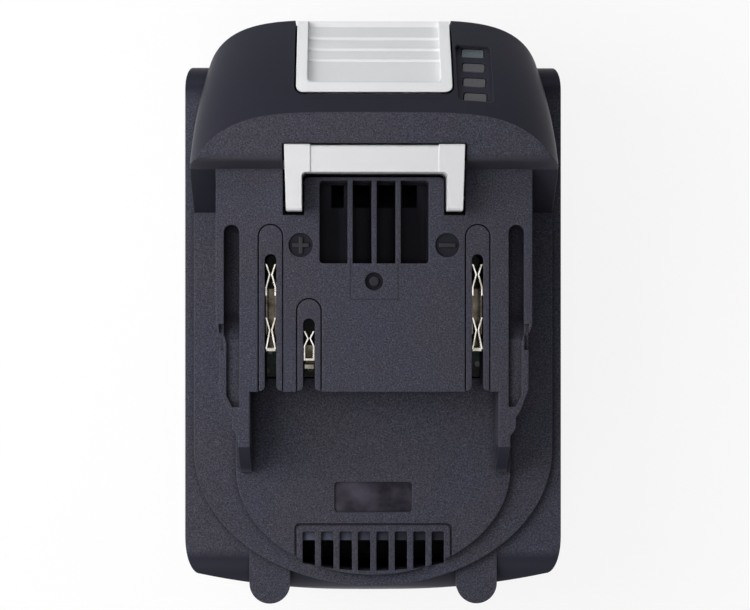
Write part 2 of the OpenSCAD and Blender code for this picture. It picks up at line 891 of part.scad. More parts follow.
module release_latch() {
    arm_high = slope_z(button_rear) - (wall + latch_fit) * slope_inset;
    arm_low = arm_high - 3;
    arm_half = button_w / 2 - 2;
    panel_half = button_w / 2 - button_rim;
    panel_r = button_r - 0.4;
    stop_high = plat_z - wall - fit;
    stop_half = hook_w / 2 + 2;
    seat_r = spring_r + wire_d / 2 + 0.6;
    color("#e4e6e8") {
        difference() {
            union() {
                intersection() {
                    along_x(button_w) button_skin(button_proud, button_t);
                    slab(0, hump_z) button_plan(0);
                }
                hook();
                box(-arm_half, hook_front - eps, arm_low, arm_half, button_rear + 3, arm_high);
                box(-stop_half, hook_rear + 1, stop_high - 2, stop_half, hook_rear + 2.6, stop_high);
                translate([0, spring_y, spring_high])
                    cylinder(h = slope_z(spring_y) - spring_high - 1, r = seat_r);
                translate([0, spring_y, spring_high - 1.6])
                    cylinder(h = 2, r = spring_r - wire_d / 2 - fit);
            }
            intersection() {
                along_x(2 * panel_half) panel_cut();
                slab(shoulder_z, hump_z + 5)
                    round_rect(-panel_half, button_rear + button_rim, panel_half, y_front + 4, panel_r);
            }
        }
        intersection() {
            button_ribs();
            along_x(button_w) button_skin(button_proud - 0.2, button_t);
        }
    }
}

// Side view of the space above the button's sunk panel
module panel_cut() {
    sink = (panel_depth - button_proud) * slope_inset;
    z_rear = slope_z(button_rear) + slope_bulge / 2 - sink;
    polygon([
        [button_rear, z_rear], slope_mid - [0, sink], [y_front - button_proud, shoulder_z - sink],
        [y_front + 1, shoulder_z - sink], [y_front + 1, hump_z + 4], [button_rear, hump_z + 4]
    ]);
}

// Coil spring as one swept tube
function spring_point(t) = let (angle = 360 * spring_turns * t)
    [spring_r * cos(angle), spring_r * sin(angle),
        wire_d / 2 + (spring_high - spring_low - wire_d) * t];

module latch_spring() {
    sides = 6;
    rings = ceil(8 * spring_turns);
    points = [for (i = [0 : rings], j = [0 : sides - 1])
        let (t = i / rings)
        let (angle = 360 * spring_turns * t)
        let (turn = 360 * j / sides)
        let (p = spring_point(t))
        p + wire_d / 2 * [cos(turn) * cos(angle), cos(turn) * sin(angle), sin(turn)]];
    walls = [for (i = [0 : rings - 1], j = [0 : sides - 1])
        let (a = i * sides + j)
        let (b = i * sides + (j + 1) % sides)
        each [[a, b, a + sides], [b, b + sides, a + sides]]];
    first_cap = [for (j = [1 : sides - 2]) [0, j + 1, j]];
    last = rings * sides;
    last_cap = [for (j = [1 : sides - 2]) [last, last + j, last + j + 1]];
    lead = (spring_high - spring_low - wire_d) / spring_turns;
    echo(spring_self_gap = lead - wire_d);
    color("#b9bcc0")
        translate([0, spring_y, spring_low])
            polyhedron(points, concat(walls, first_cap, last_cap));
}

// Charge gauge

module check_button() {
    color("#5c6b6e")
        each_pill(0, 0) {
            slab(-gauge_floor - guide_t / 2, -gauge_sink - 0.2) pill(0);
            slab(-gauge_floor - guide_t, -gauge_floor - 0.3)
                square([pill_w + 1, pill_len + 0.6], center = true);
        }
}

module gauge_windows() {
    middle = gauge_y - (pill_count / 2) * pill_pitch;
    length = (2 * pill_pitch + 2.2) * slope_inset;
    color("#7c8082") {
        each_pill(1, pill_count - 1)
            slab(-gauge_floor - fit / 2 - eps, -gauge_sink - 0.1) pill(0);
        on_slope(gauge_x, middle)
            slab(-gauge_floor - guide_t, -gauge_floor - fit / 2)
                square([gauge_w - fit, length], center = true);
    }
}

module gauge_board() {
    top = gauge_floor + guide_t + led_t;
    color("#17402b")
        on_slope(gauge_x, gauge_mid)
            slab(-top - 1, -top) square([gauge_w, gauge_len], center = true);
}

module gauge_leds() {
    top = gauge_floor + guide_t;
    color("#e9efe0")
        each_pill(1, pill_count - 1)
            slab(-top - led_t, -top) square([1.6, 0.8], center = true);
}

module gauge_switch() {
    top = gauge_floor + guide_t + check_travel + 0.1;
    base = gauge_floor + guide_t + led_t;
    color("#2b2b2e")
        each_pill(0, 0)
            slab(-base, -top) square([2.6, 1.6], center = true);
}

// Electronics

module board_screw_places() {
    both_sides()
        translate([board_screw_x, board_screw_y, 0]) children();
}

module main_board() {
    half = plat_inner - fit;
    color("#12301f")
        difference() {
            box(-half, plat_rear + wall + fit, board_z, half, plat_front - 1.5, board_top);
            box(-vent_w / 2 - 1, vent_hole_rear - 1, board_z - 1, vent_w / 2 + 1, plat_front, board_top + 1);
            board_screw_places() translate([0, 0, board_z - 1])
                cylinder(h = board_t + 2, r = board_screw_r + screw_fit);
        }
}

module board_components() {
    y = plat_front - 11.4;
    color("#25252a") {
        box(-8, y, board_top, -2, y + 3, board_top + 1.2);
        for (i = [0 : 3])
            box(1 + 2 * i, y + 0.8, board_top, 2.2 + 2 * i, y + 2.8, board_top + 1);
        translate([vent_w / 2 + 2.8, y + 1.5, board_top]) cylinder(h = 4.5, r = 1.4);
    }
}

module terminal_carrier() {
    base_t = 1.6;
    y_rear = plat_rear + fit;
    half = power_x + island_w / 2 + 0.6;
    color("#34333a")
        difference() {
            union() {
                box(-half, plat_rear + wall + 2 * fit, board_top, half, plat_front - 12, board_top + base_t);
                for (x = [-power_x, power_x])
                    slab(board_top, plat_z) slot_plan(x, island_w, y_rear, power_tip);
                slab(board_top, plat_z) slot_plan(-signal_x, island_w, y_rear, signal_tip);
            }
            box(-half_w, plat_rear - 1, seam_z, half_w, plat_rear + wall + fit, deck_z + fit);
            for (x = [-power_x, power_x])
                terminal_slot(x, power_slot_tip);
            terminal_slot(-signal_x, signal_slot_tip);
        }
}

// Slot for a tool blade with round lips at its open end
module terminal_slot(x, y_tip) {
    lip = 0.9;
    slab(board_top - 1, plat_z + 1) {
        slot_plan(x, slot_w, plat_rear - 1, y_tip);
        translate([x, plat_rear + fit])
            both_sides()
                difference() {
                    translate([slot_w / 2 - eps, -1]) square([lip + eps, lip + 1]);
                    translate([slot_w / 2 + lip, lip]) circle(lip);
                }
    }
}

// Springy leaf of a clip, seen from above: it pinches and flares again
module leaf(points) {
    half_t = clip_t / 2;
    count = len(points);
    polygon(concat(
        [for (p = points) [p.x + half_t, p.y]],
        [for (i = [1 : count]) [points[count - i].x - half_t, points[count - i].y]]
    ));
}

// Forked clip with a pinch at each end of a folded channel
module power_clip(x) {
    y0 = power_slot_tip - 1.9;
    channel_front = y0 - 4.6;
    channel_rear = channel_front - 8.8;
    y_end = channel_rear - 3.2;
    translate([x, 0, 0]) {
        both_sides() {
            slab(clip_foot + 2.4, clip_top)
                leaf([[clip_outer, y0], [clip_pinch, y0 - 2], [clip_outer, y0 - 4.4], [clip_outer, y0 - 6]]);
            slab(clip_foot, clip_top - 2.2)
                leaf([[clip_outer, channel_front], [clip_outer, channel_rear]]);
            slab(clip_foot + 2.4, clip_top)
                leaf([[clip_outer, y_end + 6.4], [clip_pinch, y_end + 4], [clip_outer, y_end + 0.4]]);
        }
        box(-clip_outer, channel_rear, board_top, clip_outer, channel_front, clip_foot + 0.6);
        box(-clip_outer, y_end, board_top, clip_outer, channel_rear + eps, clip_foot);
        box(-clip_outer, y_end, clip_foot - eps, clip_outer, y_end + 0.6, clip_top - 1);
    }
}

module positive_terminal() {
    color("#cfc9bd") power_clip(-power_x);
}

module negative_terminal() {
    color("#cfc9bd") power_clip(power_x);
}

module signal_terminal() {
    y0 = signal_slot_tip - 2.45;
    y_open = y0 - 2.8;
    y_end = y_open - 2.8;
    color("#cfc9bd")
        translate([-signal_x, 0, 0]) {
            both_sides()
                slab(clip_foot + 1, clip_top)
                    leaf([
                        [clip_outer, y0], [clip_pinch, y0 - 1.4], [clip_outer, y_open], [clip_outer, y_end]
                    ]);
            box(-clip_outer, y_end, board_top, clip_outer, y_open, clip_foot + 1 + eps);
            box(-clip_outer, y_end, clip_foot, clip_outer, y_end + 0.4, clip_top - 0.6);
            box(-clip_outer, y_end - 1.6, board_top, clip_outer, y_end - 0.8, clip_top - 1.6);
            box(-clip_outer, y_end - 0.9, board_top, clip_outer, y_end + 0.1, clip_foot);
        }
}

// Cell pack

module cell_can() {
    rotate_extrude()
        polygon([
            [0, 0], [cell_r - 0.6, 0], [cell_r, 0.6], [cell_r, cell_len - 4], [cell_r - 0.8, cell_len - 3.4],
            [cell_r - 0.8, cell_len - 2.8], [cell_r, cell_len - 2.2], [cell_r, cell_len - 1.4],
            [cell_r - 0.6, cell_len - 0.8], [4.2, cell_len - 0.8], [3.6, cell_len], [0, cell_len]
        ]);
}

// Cells lie across the pack; neighbouring pairs point opposite ways
module cell(index) {
    column = index % columns;
    row = floor(index / columns);
    flip = column % 2 == 0 ? 1 : -1;
    color(column % 2 == 0 ? "#24292d" : "#292f33")
        translate([-flip * cell_len / 2, cell_y(column), cell_z(row)])
            rotate([0, flip * 90, 0]) cell_can();
}

// Right-hand frame; the left one mirrors it
module holder() {
    inner = cell_len / 2 - holder_depth;
    outer = half_w - wall - fit;
    pocket = strip_t + sheet_t;
    z_top = cells_top + cell_head - fit;
    difference() {
        union() {
            intersection() {
                box(inner, cells_rear - fit, wall, outer, cells_rear + cells_len + fit, z_top);
                case_volume(wall + fit, wall);
            }
            ledge(board_screw_y, inner);
            ledge(cell_y(1) + pitch / 2, inner);
        }
        for (i = [0 : columns - 1], j = [0 : rows - 1])
            translate([inner - holder_depth, cell_y(i), cell_z(j)])
                rotate([0, 90, 0]) cylinder(h = cell_len, r = cell_r + cell_fit);
        box(cell_len / 2, cells_rear + 1, wall + 1.2, outer + 1, cells_rear + cells_len - 1, z_top - 1);
        translate([board_screw_x, board_screw_y, 0])
            cylinder(h = board_z + 1, r = board_screw_r + screw_fit / 3);
    }
}

// Ledge that carries the main board, with a boss in the valley between two cells
module ledge(y, inner) {
    boss = board_screw_r + 0.9;
    translate([board_screw_x, y, cells_top - 3]) cylinder(h = board_z - cells_top + 3, r = boss);
    box(board_screw_x, y - boss, cells_top - 1, inner + 2, y + boss, board_z);
}

module cell_holder_right() {
    color("#4a4c50") holder();
}

module cell_holder_left() {
    color("#4a4c50") mirror([1, 0, 0]) holder();
}

// Nickel strip over the cells of one or two columns
module strip(first, last) {
    margin = 5.2;
    x = cell_len / 2;
    y0 = cell_y(first) - margin;
    y1 = cell_y(last) + margin;
    z0 = cell_z(0) - margin;
    z1 = cell_z(rows - 1) + margin;
    color("#c9c9c4")
        difference() {
            box(x, y0, z0, x + strip_t, y1, z1);
            for (i = [first : last], j = [0 : rows - 1])
                box(x - 1, cell_y(i) - 0.4, cell_z(j) - 3, x + 1, cell_y(i) + 0.4, cell_z(j) + 3);
            box(x - 1, y0 - 1, cell_z(0) + margin, x + 1, cell_y(first) - 2.6, cell_z(rows - 1) - margin);
        }
}

module bus_left(first, last) {
    mirror([1, 0, 0]) strip(first, last);
}

module insulator() {
    x = cell_len / 2 + strip_t;
    color("#d9d3c0")
        box(x, cells_rear + 1.4, wall + 1.6, x + sheet_t, cells_rear + cells_len - 1.4,
            cells_top + cell_head - fit - 1.4);
}

module thermistor() {
    bead_r = 1.4;
    reach = cell_r + bead_r + fit / 2;
    y = cell_y(2) + pitch / 2;
    z = cell_z(rows - 1) + sqrt(reach * reach - pitch * pitch / 4);
    color("#23232a")
        translate([4, y, z])
            rotate([0, 90, 0]) cylinder(h = 5, r = bead_r);
}

// Fasteners

module case_screws() {
    head_r = screw_head_d / 2;
    color("#8f9297")
        each_screw() {
            difference() {
                translate([0, 0, screw_seat_z - screw_head_h]) cylinder(h = screw_head_h, r = head_r);
                translate([0, 0, screw_seat_z - screw_head_h - 1]) cylinder(h = 2, r = 1.1, $fn = 6);
            }
            translate([0, 0, screw_seat_z - eps]) cylinder(h = screw_top - screw_seat_z, r = screw_d / 2);
        }
}

module board_screws() {
    color("#8f9297")
        board_screw_places() {
            translate([0, 0, board_top]) cylinder(h = 1.2, r = 1.9);
            translate([0, 0, board_screw_low]) cylinder(h = board_top - board_screw_low + 0.1, r = board_screw_r);
        }
}

upper_case();
lower_case();
release_latch();
latch_spring();
check_button();
gauge_windows();
gauge_board();
gauge_leds();
gauge_switch();
main_board();
board_components();
terminal_carrier();
positive_terminal();
negative_terminal();
signal_terminal();
cell_holder_left();
cell_holder_right();
cell(0);  // cell_01
cell(1);  // cell_02
cell(2);  // cell_03
cell(3);  // cell_04
cell(4);  // cell_05
cell(5);  // cell_06
cell(6);  // cell_07
cell(7);  // cell_08
cell(8);  // cell_09
cell(9);  // cell_10
bus_left(0, 0);  // bus_left_1
bus_left(1, 2);  // bus_left_2
bus_left(3, 4);  // bus_left_3
strip(0, 1);  // bus_right_1
strip(2, 3);  // bus_right_2
strip(4, 4);  // bus_right_3
mirror([1, 0, 0]) insulator();  // insulator_left
insulator();  // insulator_right
thermistor();
case_screws();
board_screws();
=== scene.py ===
import json
import math

import bmesh
import bpy
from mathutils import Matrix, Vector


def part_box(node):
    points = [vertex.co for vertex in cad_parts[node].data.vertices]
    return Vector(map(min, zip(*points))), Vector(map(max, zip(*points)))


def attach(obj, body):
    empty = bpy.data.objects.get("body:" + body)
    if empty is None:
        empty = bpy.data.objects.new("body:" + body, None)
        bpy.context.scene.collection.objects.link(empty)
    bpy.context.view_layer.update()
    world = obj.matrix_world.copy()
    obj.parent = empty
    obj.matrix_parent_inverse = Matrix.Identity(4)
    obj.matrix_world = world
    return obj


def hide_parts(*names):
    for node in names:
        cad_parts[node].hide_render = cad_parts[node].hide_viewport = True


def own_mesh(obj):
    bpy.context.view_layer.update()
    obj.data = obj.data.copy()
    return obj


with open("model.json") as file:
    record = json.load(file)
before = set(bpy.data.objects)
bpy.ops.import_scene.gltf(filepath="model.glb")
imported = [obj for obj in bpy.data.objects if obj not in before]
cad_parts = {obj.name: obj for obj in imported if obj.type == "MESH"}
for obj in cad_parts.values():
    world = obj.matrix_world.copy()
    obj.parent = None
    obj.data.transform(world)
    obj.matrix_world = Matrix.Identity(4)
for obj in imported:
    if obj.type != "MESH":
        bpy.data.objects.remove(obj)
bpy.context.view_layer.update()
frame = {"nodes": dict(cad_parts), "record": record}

MM = 0.001
BODY = "pack"

# Steps of the case, as the part's source has them
CARRIER_GAP = 0.2 * MM
PLATFORM_LENGTH = 42.4 * MM
WING_LENGTH = 7.85 * MM
PLATFORM_STEP = 11.8 * MM
DECK_STEP = 2.8 * MM

# Heights and edges read from the frame, in metres
carrier_low, carrier_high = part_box("terminal_carrier")
plat_z = carrier_high.z
plat_rear = carrier_low.y - CARRIER_GAP
plat_front = plat_rear + PLATFORM_LENGTH
wing_foot = plat_front - WING_LENGTH
deck_z = plat_z - PLATFORM_STEP
shoulder_z = deck_z - DECK_STEP
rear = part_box("upper_case")[0].y
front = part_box("release_latch")[1].y

# Signs in their sunk discs beside the contacts, and the round gate mark between them
sign_x, sign_y, sign_floor = 13.95 * MM, plat_front - 14.5 * MM, plat_z - 0.5 * MM
gate_x, gate_y = 0.0, plat_front - 21.4 * MM
SIGN_LENGTH = 3.2 * MM
SIGN_WIDTH = 0.8 * MM
SIGN_HEIGHT = 0.42 * MM
SIGN_CHAMFER = 0.12 * MM

# Smoothing of the meshes, and rays at each point for rounded edges and shaded corners
CREASE = math.radians(32)
WELD = 0.002 * MM
EDGE_RAYS = 6


# Shading helpers

class Nodes:
    """Short calls for the nodes of a tree."""

    def __init__(self, tree):
        self.nodes, self.links = tree.nodes, tree.links

    def node(self, kind, **settings):
        node = self.nodes.new(kind)
        for key, value in settings.items():
            setattr(node, key, value)
        return node

    def join(self, value, socket):
        """Link an output to a socket, or set a plain value on it."""
        if isinstance(value, bpy.types.NodeSocket):
            self.links.new(value, socket)
        else:
            socket.default_value = value

    def math(self, operation, a, b=0.0):
        node = self.node("ShaderNodeMath", operation=operation)
        self.join(a, node.inputs[0])
        self.join(b, node.inputs[1])
        return node.outputs[0]

    def span(self, value, low, high, to_low=0.0, to_high=1.0, **settings):
        """Map a value from one range to another, held at the ends."""
        node = self.node("ShaderNodeMapRange", **settings)
        self.join(value, node.inputs["Value"])
        node.inputs["From Min"].default_value = low
        node.inputs["From Max"].default_value = high
        node.inputs["To Min"].default_value = to_low
        node.inputs["To Max"].default_value = to_high
        return node.outputs["Result"]

    def fold(self, operation, values):
        """One value from several, taken two at a time."""
        result = values[0]
        for value in values[1:]:
            result = self.math(operation, result, value)
        return result

    def split(self, vector):
        """The X, Y and Z of a vector."""
        node = self.node("ShaderNodeSeparateXYZ")
        self.links.new(vector, node.inputs["Vector"])
        return node.outputs["X"], node.outputs["Y"], node.outputs["Z"]


class Shader(Nodes):
    """A Principled material, with calls for patterns, masks and normals."""

    def __init__(self, name):
        self.material = bpy.data.materials.new(name)
        self.material.use_nodes = True
        super().__init__(self.material.node_tree)
        self.surface = self.nodes["Principled BSDF"]
        self.place = self.node("ShaderNodeTexCoord").outputs["Object"]

    def give(self, socket, value):
        """Set or link one of the surface's own sockets."""
        self.join(value, self.surface.inputs[socket])

    def finish(self, color, roughness, normal):
        self.give("Base Color", color)
        self.give("Roughness", roughness)
        self.give("Normal", normal)
        return self.material

    # Patterns

    def noise(self, size, detail=2.0, roughness=0.5, stretch=None):
        """Noise with grains of a size in metres."""
        vector = self.place
        if stretch:
            mapping = self.node("ShaderNodeMapping")
            mapping.inputs["Scale"].default_value = stretch
            self.links.new(vector, mapping.inputs["Vector"])
            vector = mapping.outputs["Vector"]
        node = self.node("ShaderNodeTexNoise")
        self.links.new(vector, node.inputs["Vector"])
        node.inputs["Scale"].default_value = 1 / size
        node.inputs["Detail"].default_value = detail
        node.inputs["Roughness"].default_value = roughness
        return node.outputs["Fac"]

    def spread(self, noise, to_low=0.0, to_high=1.0):
        """Map the range that noise mostly keeps within to another."""
        return self.span(noise, 0.3, 0.7, to_low, to_high)

    def cells(self, size):
        """Distance to the nearest of many scattered points, in cells of a size in metres."""
        node = self.node("ShaderNodeTexVoronoi")
        self.links.new(self.place, node.inputs["Vector"])
        node.inputs["Scale"].default_value = 1 / size
        return node.outputs["Distance"]

    def blend(self, factor, a, b):
        node = self.node("ShaderNodeMix", data_type="RGBA")
        self.join(factor, node.inputs["Factor"])
        self.join(a, node.inputs["A"])
        self.join(b, node.inputs["B"])
        return node.outputs["Result"]

    # Normals

    def rounded(self, radius):
        """Normal of the surface with its edges rounded."""
        node = self.node("ShaderNodeBevel", samples=EDGE_RAYS)
        node.inputs["Radius"].default_value = radius
        return node.outputs["Normal"]

    def bump(self, height, distance, strength, over=None):
        """Normal from a height map, over another normal."""
        node = self.node("ShaderNodeBump")
        self.join(height, node.inputs["Height"])
        self.join(strength, node.inputs["Strength"])
        node.inputs["Distance"].default_value = distance
        if over:
            self.links.new(over, node.inputs["Normal"])
        return node.outputs["Normal"]

    # Masks, from nought to one

    def edges(self, rounded):
        """One where a rounded normal leaves the surface's own, which is along the edges."""
        node = self.node("ShaderNodeVectorMath", operation="DOT_PRODUCT")
        self.links.new(rounded, node.inputs[0])
        self.links.new(self.node("ShaderNodeNewGeometry").outputs["Normal"], node.inputs[1])
        return self.span(node.outputs["Value"], 0.75, 0.97, 1, 0)

    def openness(self, reach):
        """One on open surfaces, less in corners and gaps within reach."""
        node = self.node("ShaderNodeAmbientOcclusion", samples=EDGE_RAYS)
        node.inputs["Distance"].default_value = reach
        return node.outputs["AO"]

    def past(self, value, edge, soft):
        """One past an edge, rising over a short distance before it."""
        return self.span(value, edge - soft, edge)

    def up_to(self, value, edge, soft):
        """One up to an edge, falling over a short distance after it."""
        return self.span(value, edge, edge + soft, 1, 0)

    def between(self, value, low, high, soft=0.05 * MM):
        """One from one edge to another, falling over a short distance outside them."""
        return self.all_of(self.past(value, low, soft), self.up_to(value, high, soft))

    def all_of(self, *masks):
        return self.fold("MULTIPLY", masks)

    def any_of(self, *masks):
        return self.fold("MAXIMUM", masks)

    def all_but(self, mask):
        return self.math("SUBTRACT", 1, mask)

    # Measures

    def axes(self):
        """The X, Y and Z of a point in the frame."""
        return self.split(self.place)

    def facing(self):
        """How far the true surface faces along X, Y and Z, from -1 to 1."""
        return self.split(self.node("ShaderNodeNewGeometry").outputs["True Normal"])

    def away_from(self, x, y, place):
        """Distance in plan from an upright line."""
        squares = []
        for value, middle in zip((x, y), place):
            offset = self.math("SUBTRACT", value, middle)
            squares.append(self.math("MULTIPLY", offset, offset))
        return self.math("SQRT", self.fold("ADD", squares))


def tone(color, factor=1.0):
    return tuple(min(1.0, part * factor) for part in color[:3]) + (1.0,)


# Materials

# The case's grained plastic, its cooler clouds, its smooth slopes and its bare recess
CASE = (0.047, 0.044, 0.057)
COOL = (0.042, 0.045, 0.064)
SATIN = (0.0225, 0.022, 0.033)
BARE = (0.030, 0.026, 0.036)

# Sheen and depth of grain, on grained and on smooth plastic
CASE_SHEEN, SATIN_SHEEN = 0.16, 0.08
GRAIN_STRENGTH, SMOOTH_STRENGTH = 0.5, 0.05


def case_plastic(name, marked=False):
    """Charcoal plastic with a spark-eroded grain, painted glints, a painted highlight along its edges and painted
    shade in its corners; the upper case has satin slopes and sunk marks.
    """
    grain_size, fine_size, cloud_size, grain_depth = 0.28 * MM, 0.20 * MM, 16 * MM, 0.05 * MM
    edge_radius, corner_reach = 0.3 * MM, 1.6 * MM
    # Tones of the grain's pits and peaks, of its painted glints, of the painted highlight along edges and of the
    # painted shade in corners
    pit, peak, glint, edge_highlight, shaded = 0.42, 1.42, 2.9, 2.2, 0.2
    cloud_share, glint_share, edge_highlight_share, shaded_share, fine_share = 0.8, 0.6, 0.55, 0.75, 0.4
    matt, polished = 0.66, 0.52
    s = Shader(name)
    grain = s.noise(grain_size, detail=3, roughness=0.7)
    fine = s.noise(fine_size, detail=1)
    cloud = s.noise(cloud_size, detail=3)
    dots = s.span(grain, 0.36, 0.64)
    warm, cool = [s.blend(dots, tone(hue, pit), tone(hue, peak)) for hue in (CASE, COOL)]
    color = s.blend(s.span(cloud, 0.40, 0.62, 0, cloud_share), warm, cool)
    # Painted glints: small lighter specks in the colour
    color = s.blend(s.span(fine, 0.60, 0.76, 0, glint_share), color, tone(CASE, glint))
    height = s.math("ADD", grain, s.math("MULTIPLY", fine, fine_share))
    roughness = s.spread(grain, matt, polished)
    strength = GRAIN_STRENGTH
    s.give("Specular IOR Level", CASE_SHEEN)
    s.give("Specular Tint", (0.86, 0.88, 1.0, 1))
    if marked:
        color, roughness, strength = upper_marks(s, color, roughness, cloud)
    rounded = s.rounded(edge_radius)
    openness = s.openness(corner_reach)
    crest = s.all_of(s.edges(rounded), s.span(openness, 0.6, 0.85))
    # Painted highlight along open convex edges, and painted shade in corners and gaps
    color = s.blend(s.math("MULTIPLY", crest, edge_highlight_share), color, tone(CASE, edge_highlight))
    color = s.blend(s.span(openness, 0.35, 0.9, shaded_share, 0), color, tone(CASE, shaded))
    return s.finish(color, roughness, s.bump(height, grain_depth, strength, over=rounded))


def upper_marks(s, color, roughness, cloud):
    """Smooth places and marks of the upper case, with painted light and shade in some of them: its colour,
    roughness and depth of grain.
    """
    polish = 0.17
    place = s.axes()
    color, satin, hump_wall = smooth_places(s, place, color, cloud)
    color, bare = bare_recess(s, place, color)
    color, sunk = sunk_discs(s, place, color)
    color = square_line(s, place, color)
    color = inlet_well(s, place, color, cloud)
    color = grille_ledge(s, place, color)
    smooth_share = s.any_of(satin, hump_wall, bare, sunk)
    s.give("Specular IOR Level", s.span(satin, 0, 1, CASE_SHEEN, SATIN_SHEEN))
    roughness = s.math("SUBTRACT", roughness, s.math("MULTIPLY", smooth_share, polish))
    return color, roughness, s.span(smooth_share, 0, 1, GRAIN_STRENGTH, SMOOTH_STRENGTH)


def smooth_places(s, place, color, cloud):
    """Satin slopes of the hump, with its wings and rear wall, and the rounded rims and rail tips; the wings and
    the rear wall get darker tones as painted shade.
    """
    rail_clear, column_inner, column_outer, soft = 30.4 * MM, 16.3 * MM, 24.3 * MM, 0.1 * MM
    ear_length, roll_length, tip_back, tip_rise = 13 * MM, 8.8 * MM, 10.6 * MM, 3 * MM
    ear_fade, roll_fade, tip_fade = 3 * MM, 1.8 * MM, 1 * MM
    wall_length, wall_fade = 1.2 * MM, 2 * MM
    x, y, z = place
    across = s.math("ABSOLUTE", x)
    _, along, up = s.facing()
    turned_up = s.span(up, 0.05, 0.15)
    sloped = s.span(up, 0.78, 0.96, 1, 0)
    low = s.up_to(z, shoulder_z, 3 * soft)
    clear = s.any_of(s.past(y, plat_front - soft, 2 * soft), s.past(across, rail_clear, 2 * soft))
    turned_back = s.all_of(s.span(along, -0.2, -0.05, 1, 0), s.past(y, plat_front, soft))
    slopes = s.all_of(sloped, s.past(y, wing_foot, 2 * soft), clear, s.past(z, shoulder_z, 2 * soft),
                      s.all_but(turned_back))
    ears = s.all_of(s.past(y, front - ear_length, ear_fade), low, turned_up)
    roll = s.all_of(s.up_to(y, rear + roll_length, roll_fade), low, turned_up,
                    s.all_but(s.between(across, column_inner, column_outer)))
    tips = s.all_of(s.up_to(y, plat_rear - tip_back, 2 * soft), s.past(z, deck_z + tip_rise, tip_fade))
    satin = s.any_of(slopes, ears, roll, tips)
    wings = s.all_of(slopes, s.up_to(y, plat_front - 3 * soft, 3 * soft))
    hump_wall = s.all_of(turned_back, s.up_to(y, plat_front + wall_length, wall_fade))
    color = s.blend(satin, color, s.blend(cloud, tone(SATIN, 0.9), tone(SATIN, 1.12)))
    # Painted shade on the wings and on the hump's rear wall, faces turned to the rear
    color = s.blend(wings, color, tone(SATIN, 0.75))
    color = s.blend(hump_wall, color, tone(CASE, 0.66))
    return color, satin, hump_wall


def bare_recess(s, place, color):
    """Blotchy floor of the sunk rectangle behind the platform, with painted sheen in the blotches and painted
    light, lighter on the left than on the right.
    """
    half, back, fore, low, high = 7.5 * MM, 23.9 * MM, 18.1 * MM, 0.6 * MM, 0.2 * MM
    blotch_size = 5 * MM
    x, y, z = place
    bare = s.all_of(s.between(x, -half, half), s.between(y, plat_rear - back, plat_rear - fore),
                    s.between(z, deck_z - low, deck_z - high))
    # Painted sheen in blotches, and painted light: lighter on the left, where the key light falls
    blotch = s.math("ADD", s.noise(blotch_size, detail=3), s.span(x, -half, half, 0.10, -0.08))
    floor_color = s.blend(s.span(blotch, 0.35, 0.68), tone(BARE, 0.45), tone(BARE, 2.0))
    return s.blend(bare, color, floor_color), bare


def sunk_discs(s, place, color):
    """Floors of the two sign discs and of the gate mark."""
    sign_radius, gate_radius, depth, soft = 2.45 * MM, 1.9 * MM, 0.35 * MM, 0.05 * MM
    x, y, z = place
    left, right = [s.up_to(s.away_from(x, y, (side * sign_x, sign_y)), sign_radius, soft) for side in (-1, 1)]
    gate = s.up_to(s.away_from(x, y, (gate_x, gate_y)), gate_radius, soft)
    sunk = s.all_of(s.any_of(left, right, gate), s.up_to(z, plat_z - depth, soft))
    return s.blend(sunk, color, s.blend(gate, tone(SATIN, 0.6), tone(CASE, 0.55))), sunk


def square_line(s, place, color):
    """Faint line of a mould insert, square round the gate mark."""
    half_x, half_y, shift = 4.55 * MM, 3.8 * MM, 0.4 * MM
    half_line, soft, depth, line_share = 0.05 * MM, 0.12 * MM, 0.1 * MM, 0.7
    x, y, z = place
    reach_x = s.math("ABSOLUTE", x)
    reach_y = s.math("ABSOLUTE", s.math("SUBTRACT", y, gate_y + shift))
    outward = s.any_of(s.math("SUBTRACT", reach_x, half_x), s.math("SUBTRACT", reach_y, half_y))
    line = s.all_of(s.between(outward, -half_line, half_line, soft), s.past(z, plat_z, depth))
    return s.blend(s.math("MULTIPLY", line, line_share), color, tone(CASE, 0.35))


def inlet_well(s, place, color, cloud):
    """Painted light deep in the air inlet: a plainer tone, a little lighter than the grain around it."""
    half, back, fore, depth, fade = 10.6 * MM, 18.2 * MM, 2 * MM, 6 * MM, 4 * MM
    x, y, z = place
    well = s.all_of(s.between(x, -half, half), s.between(y, plat_front - back, plat_front - fore),
                    s.up_to(z, plat_z - depth, fade))
    # Painted light: a lighter, plainer tone deep in the well
    return s.blend(well, color, s.blend(cloud, tone(CASE, 0.95), tone(CASE, 1.2)))


def grille_ledge(s, place, color):
    """Step in front of the grille, with painted light on the left and painted shade on the right."""
    half, back, fore, low, high = 15 * MM, 29.5 * MM, 27.7 * MM, 1.3 * MM, 0.9 * MM
    lit_x, shaded_x = -13 * MM, 8 * MM
    x, y, z = place
    ledge = s.all_of(s.between(x, -half, half), s.between(y, plat_rear - back, plat_rear - fore),
                     s.between(z, deck_z - low, deck_z - high))
    # Painted light on the left, falling to painted shade on the right
    return s.blend(ledge, color, s.blend(s.span(x, lit_x, shaded_x), tone(COOL, 2.4), tone(COOL, 0.4)))


